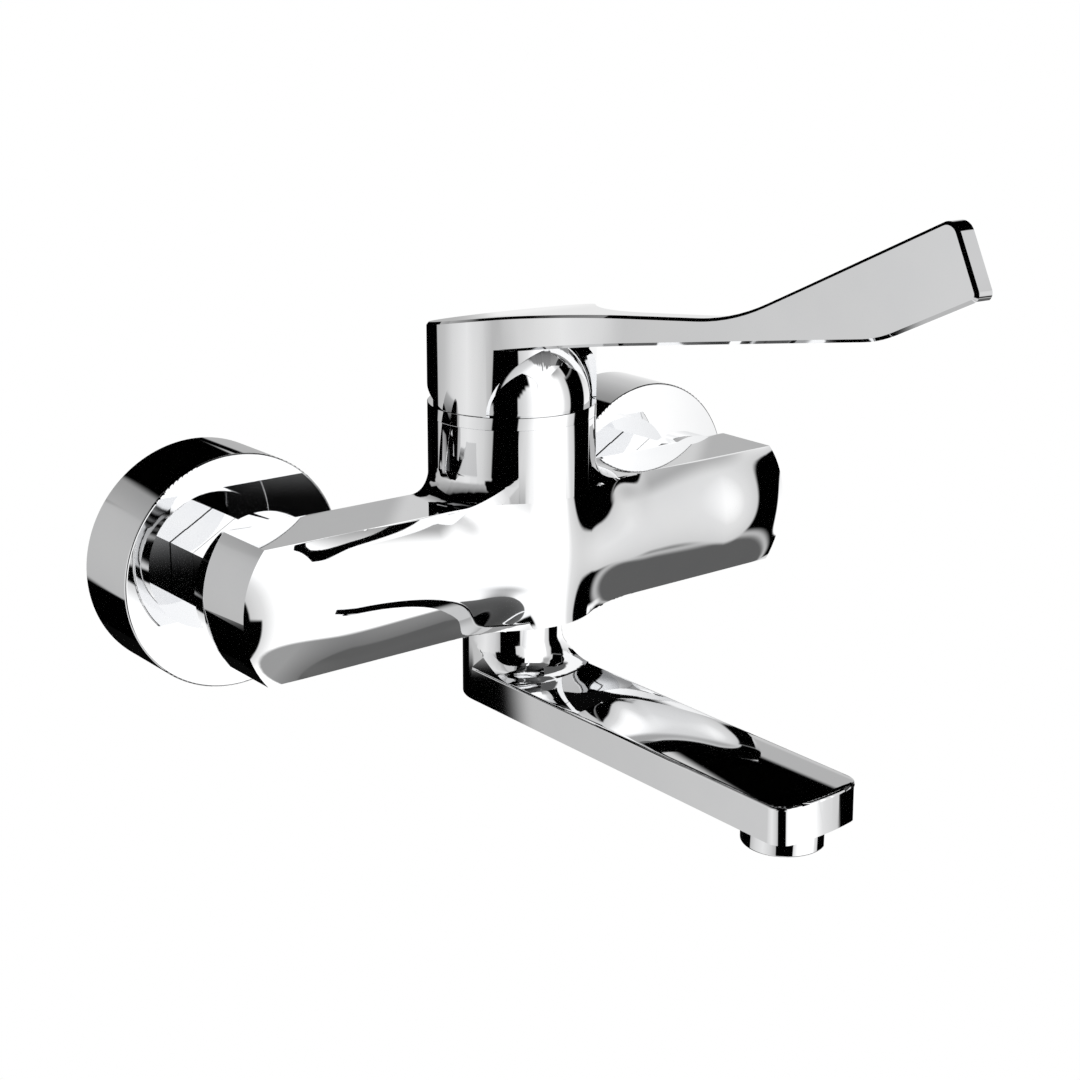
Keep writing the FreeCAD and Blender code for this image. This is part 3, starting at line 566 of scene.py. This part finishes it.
class Studio(Shader):
    """A sky that is painted stroke by stroke."""

    def __init__(self, tree):
        super().__init__(tree)
        place = self.node("ShaderNodeTexCoord", out="Generated")
        x = self.node("ShaderNodeSeparateXYZ", out="X", Vector=place)
        y = self.node("ShaderNodeSeparateXYZ", out="Y", Vector=place)
        z = self.node("ShaderNodeSeparateXYZ", out="Z", Vector=place)
        self.wallward = y
        self.azimuth = x.angle(0 - y) * (180 / math.pi)
        self.height = z.arcsine() * (180 / math.pi)
        self.light = Socket.constant(tree, grey(0.8))

    def band(self, coordinate, low, high, soft):
        """1 between low and high, with soft ends."""
        return coordinate.smooth(low - soft, low + soft) * (1 - coordinate.smooth(high - soft, high + soft))

    def patch(self, left, right, low, high, side_soft=1.0, end_soft=1.0):
        return self.band(self.azimuth, left, right, side_soft) * self.band(self.height, low, high, end_soft)

    def shade(self, coordinate, stops):
        """A grey that runs through (degrees, grey) stops."""
        first = stops[0][0]
        last = stops[-1][0]
        along = (coordinate - first) * (1 / (last - first))
        ramp = [((degrees - first) / (last - first), (grey(shown), grey(shown), grey(shown), 1))
                for degrees, shown in stops]
        return self.node("ShaderNodeValToRGB", {"stops": ramp}, Fac=along)

    def paint(self, value, mask):
        self.light = self.light + (value - self.light) * mask


def studio_world():
    world = bpy.data.worlds.new("studio")
    world.use_nodes = True
    sky = Studio(world.node_tree)
    # The left: a light grey screen from the wall round to the front, darker towards its ends
    left_screen = sky.shade(sky.azimuth, ((-160, 0.70), (-140, 0.75), (-124, 0.84), (-100, 0.90),
                                          (-77, 0.82), (-64, 0.69)))
    sky.paint(left_screen, sky.patch(-158, -60, -90, 90))
    sky.paint(sky.shade(sky.height, ((14, 0.72), (30, 0.62), (46, 0.40))), sky.patch(-170, -60, 14, 90, 1, 6))
    # Above the screens, and round the wall, it is dark
    sky.paint(grey(0.0), sky.patch(-200, -60, 47, 90, 1, 3))
    sky.paint(grey(0.0), sky.patch(-200, -157, -90, 90))
    sky.paint(grey(0.0), sky.patch(-200, -142.6, -60, -20.3, 0.5, 0.5))
    sky.paint(sky.shade(sky.height, ((19, 0.66), (28, 0.57))), sky.patch(-169, -152, 18, 27))
    # The right: white low down, grey and then dark above
    right_screen = sky.shade(sky.height, ((-16, 1.0), (-8, 0.93), (2, 0.88), (12, 0.76), (20, 0.64)))
    sky.paint(right_screen, sky.patch(92, 148, -90, 20))
    sky.paint(grey(0.69), sky.patch(144, 151, -90, 8))
    sky.paint(grey(0.0), sky.patch(60, 143, 20, 90))
    sky.paint(grey(0.0), sky.patch(151, 200, -90, 90))
    sky.paint(grey(0.0), sky.patch(147, 200, 8, 90))
    sky.paint(grey(0.03), sky.patch(133, 200, -60, -14, 1, 1.5))
    sky.paint(grey(0.69), sky.patch(128, 151.3, 12.3, 19.5, 0.4, 0.5))
    # A pale arc over the wall, for the right flange's rim
    wall_ring = sky.wallward.smooth(0.705, 0.712) * (1 - sky.wallward.smooth(0.798, 0.804))
    ring_light = sky.shade(sky.height, ((-10, 0.93), (6, 0.86), (15, 0.80), (25, 0.74),
                                        (33, 0.66), (41, 0.54)))
    sky.paint(ring_light, wall_ring * sky.patch(126, 169, -10, 42))
    # The softbox in front, dimmer at its sides and top
    box_side = sky.shade(sky.azimuth, ((-30, 0.78), (-17, 0.88), (-4, 1.05), (40, 1.05),
                                       (46, 0.88), (56, 0.80)))
    sky.paint(box_side, sky.patch(-30, 56, -90, 90))
    sky.paint(grey(0.66), sky.patch(36, 56, 28, 90, 5, 6))
    # The floor
    floor = sky.shade(sky.azimuth, ((20, 0.60), (60, 0.42), (100, 0.34)))
    sky.paint(floor, sky.patch(-30, 110, -90, -42, 1, 1.5))
    # Black flags at both sides of the softbox
    sky.paint(grey(0.0), sky.patch(56, 92, -31, 20, 1.5, 3))
    sky.paint(grey(0.36), sky.patch(56, 108, -60, -34, 2, 3))
    sky.paint(grey(0.0), sky.patch(-64, -29, -40, 60, 1, 4))
    sky.paint(grey(0.0), sky.patch(-74, -60, 2, 60, 1, 4))
    # The left flag leans in towards its top, which rounds its reflection in the dome
    for edge, low in ((-25, 12), (-21, 17), (-16, 22), (-9, 27)):
        sky.paint(grey(0.0), sky.patch(-64, edge, low, 60, 2, 3))
    sky.paint(grey(0.0), sky.patch(-64, -19, -38, -16, 1, 1.5))
    sky.paint(grey(0.0), sky.band(sky.height, 55, 200, 5))
    sky.paint(sky.shade(sky.height, ((46, 0.42), (70, 0.12))), sky.patch(-13, 60, 46.5, 90, 2, 0.7))
    glossy = sky.node("ShaderNodeLightPath", out="Is Glossy Ray")
    strength = glossy * sky.light.maximum(0.0) + (1 - glossy)
    background = sky.node("ShaderNodeBackground", {}, Strength=strength, Color=(1, 1, 1, 1))
    output = world.node_tree.nodes.new("ShaderNodeOutputWorld")
    world.node_tree.links.new(background.output, output.inputs["Surface"])
    bpy.context.scene.world = world
    return world


studio = studio_world()
print("studio:", len(studio.node_tree.nodes), "nodes in the sky")
bpy.context.scene.view_settings.view_transform = "Standard"
